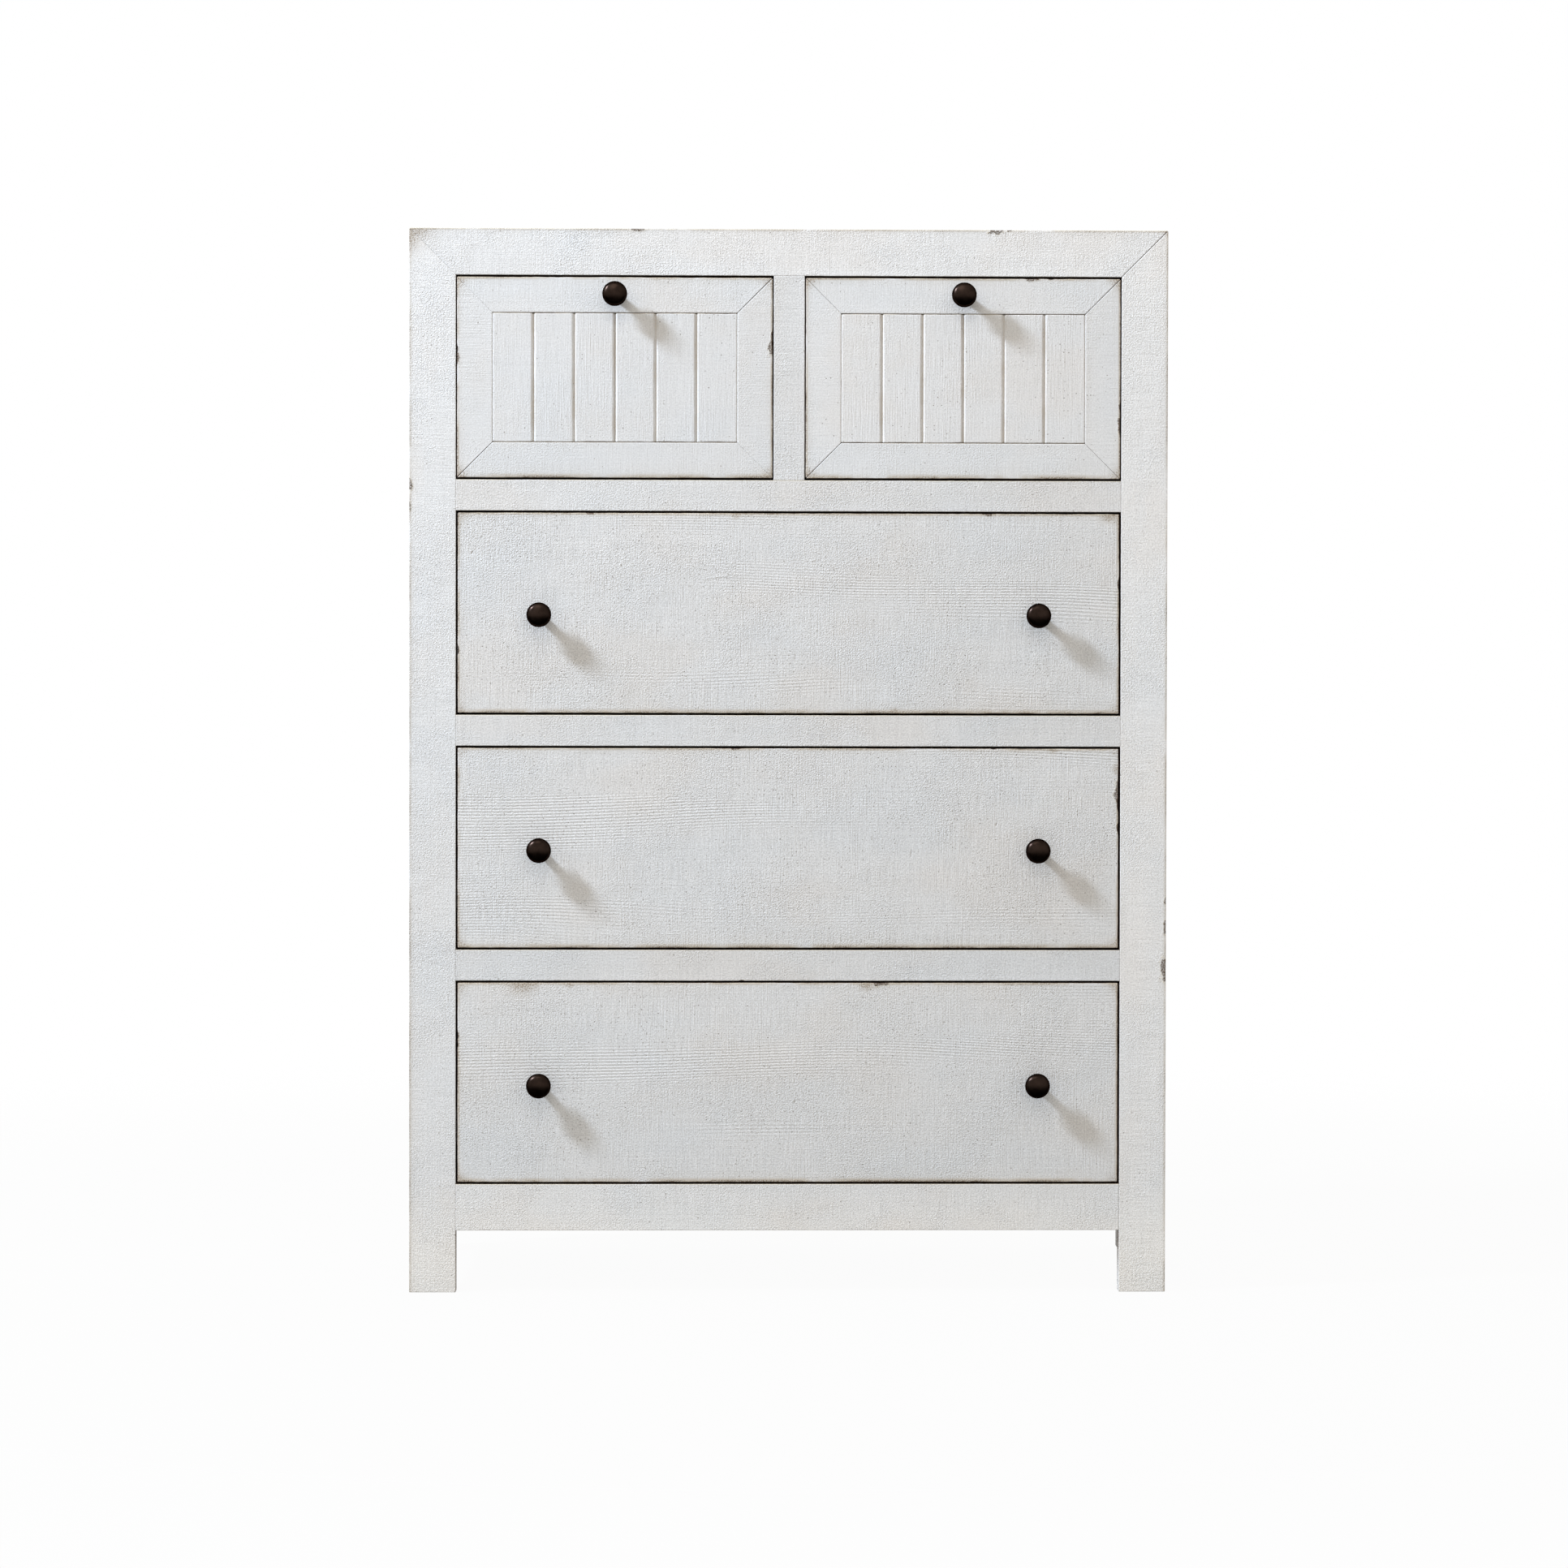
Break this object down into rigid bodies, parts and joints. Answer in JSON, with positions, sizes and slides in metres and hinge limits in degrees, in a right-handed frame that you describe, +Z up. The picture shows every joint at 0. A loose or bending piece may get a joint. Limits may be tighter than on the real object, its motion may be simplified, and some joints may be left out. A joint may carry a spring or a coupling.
{
  "type": "tall chest of drawers",
  "caption": "Tall free-standing chest of drawers in painted wood: a mitred face frame holds small plank-fronted drawers side by side over wide plain ones, with round knobs.",
  "frame": {"origin": "on the floor, in the middle of the width and of the depth measured over the knobs", "axes": "+X to the right as seen from the front, +Y from the front to the back, +Z up"},
  "size_m": [0.978, 0.485, 1.372],
  "materials": {
    "painted_wood": "brushed white paint with a matte sheen, rubbed through to a brown-grey glaze along the edges",
    "case_pine": "bare sawn softwood",
    "drawer_pine": "clear satin lacquer on planed softwood",
    "plywood": "sanded plywood, unpainted",
    "slide_steel": "bright zinc plating on cold-rolled steel",
    "screw_steel": "zinc-plated screws",
    "knob_bronze": "oil-rubbed bronze, semi-gloss"
  },
  "bodies": {
    "case": {"left_stile": "painted_wood", "right_stile": "painted_wood", "top_rail": "painted_wood", "upper_rail": "painted_wood", "middle_rail": "painted_wood", "lower_rail": "painted_wood", "bottom_rail": "painted_wood", "centre_stile": "painted_wood", "top_panel": "painted_wood", "left_side_posts": "painted_wood", "right_side_posts": "painted_wood", "side_rails": "painted_wood", "left_side_panel": "painted_wood", "right_side_panel": "painted_wood", "back_rails": "case_pine", "centre_partition": "case_pine", "slide_cleats": "case_pine", "back_panel": "plywood", "floor_panel": "plywood", "case_slide_channels": "slide_steel", "case_slide_screws": "screw_steel"},
    "left_drawer": {"left_drawer_front_rails": "painted_wood", "left_drawer_front_stiles": "painted_wood", "left_drawer_front_panel": "painted_wood", "left_drawer_box_sides": "drawer_pine", "left_drawer_box_ends": "drawer_pine", "left_drawer_box_bottom": "plywood", "left_drawer_knobs": "knob_bronze", "left_drawer_screws": "screw_steel", "left_drawer_slide_channels": "slide_steel"},
    "right_drawer": {"right_drawer_front_rails": "painted_wood", "right_drawer_front_stiles": "painted_wood", "right_drawer_front_panel": "painted_wood", "right_drawer_box_sides": "drawer_pine", "right_drawer_box_ends": "drawer_pine", "right_drawer_box_bottom": "plywood", "right_drawer_knobs": "knob_bronze", "right_drawer_screws": "screw_steel", "right_drawer_slide_channels": "slide_steel"},
    "upper_drawer": {"upper_drawer_front": "painted_wood", "upper_drawer_box_sides": "drawer_pine", "upper_drawer_box_ends": "drawer_pine", "upper_drawer_box_bottom": "plywood", "upper_drawer_knobs": "knob_bronze", "upper_drawer_screws": "screw_steel", "upper_drawer_slide_channels": "slide_steel"},
    "middle_drawer": {"middle_drawer_front": "painted_wood", "middle_drawer_box_sides": "drawer_pine", "middle_drawer_box_ends": "drawer_pine", "middle_drawer_box_bottom": "plywood", "middle_drawer_knobs": "knob_bronze", "middle_drawer_screws": "screw_steel", "middle_drawer_slide_channels": "slide_steel"},
    "lower_drawer": {"lower_drawer_front": "painted_wood", "lower_drawer_box_sides": "drawer_pine", "lower_drawer_box_ends": "drawer_pine", "lower_drawer_box_bottom": "plywood", "lower_drawer_knobs": "knob_bronze", "lower_drawer_screws": "screw_steel", "lower_drawer_slide_channels": "slide_steel"}
  },
  "joints": [
    {"name": "left_drawer_slide", "type": "slide", "parent": "case", "child": "left_drawer", "axis": [0, -1, 0], "range_m": [0, 0.262]},
    {"name": "right_drawer_slide", "type": "slide", "parent": "case", "child": "right_drawer", "axis": [0, -1, 0], "range_m": [0, 0.262]},
    {"name": "upper_drawer_slide", "type": "slide", "parent": "case", "child": "upper_drawer", "axis": [0, -1, 0], "range_m": [0, 0.262]},
    {"name": "middle_drawer_slide", "type": "slide", "parent": "case", "child": "middle_drawer", "axis": [0, -1, 0], "range_m": [0, 0.262]},
    {"name": "lower_drawer_slide", "type": "slide", "parent": "case", "child": "lower_drawer", "axis": [0, -1, 0], "range_m": [0, 0.262]}
  ]
}
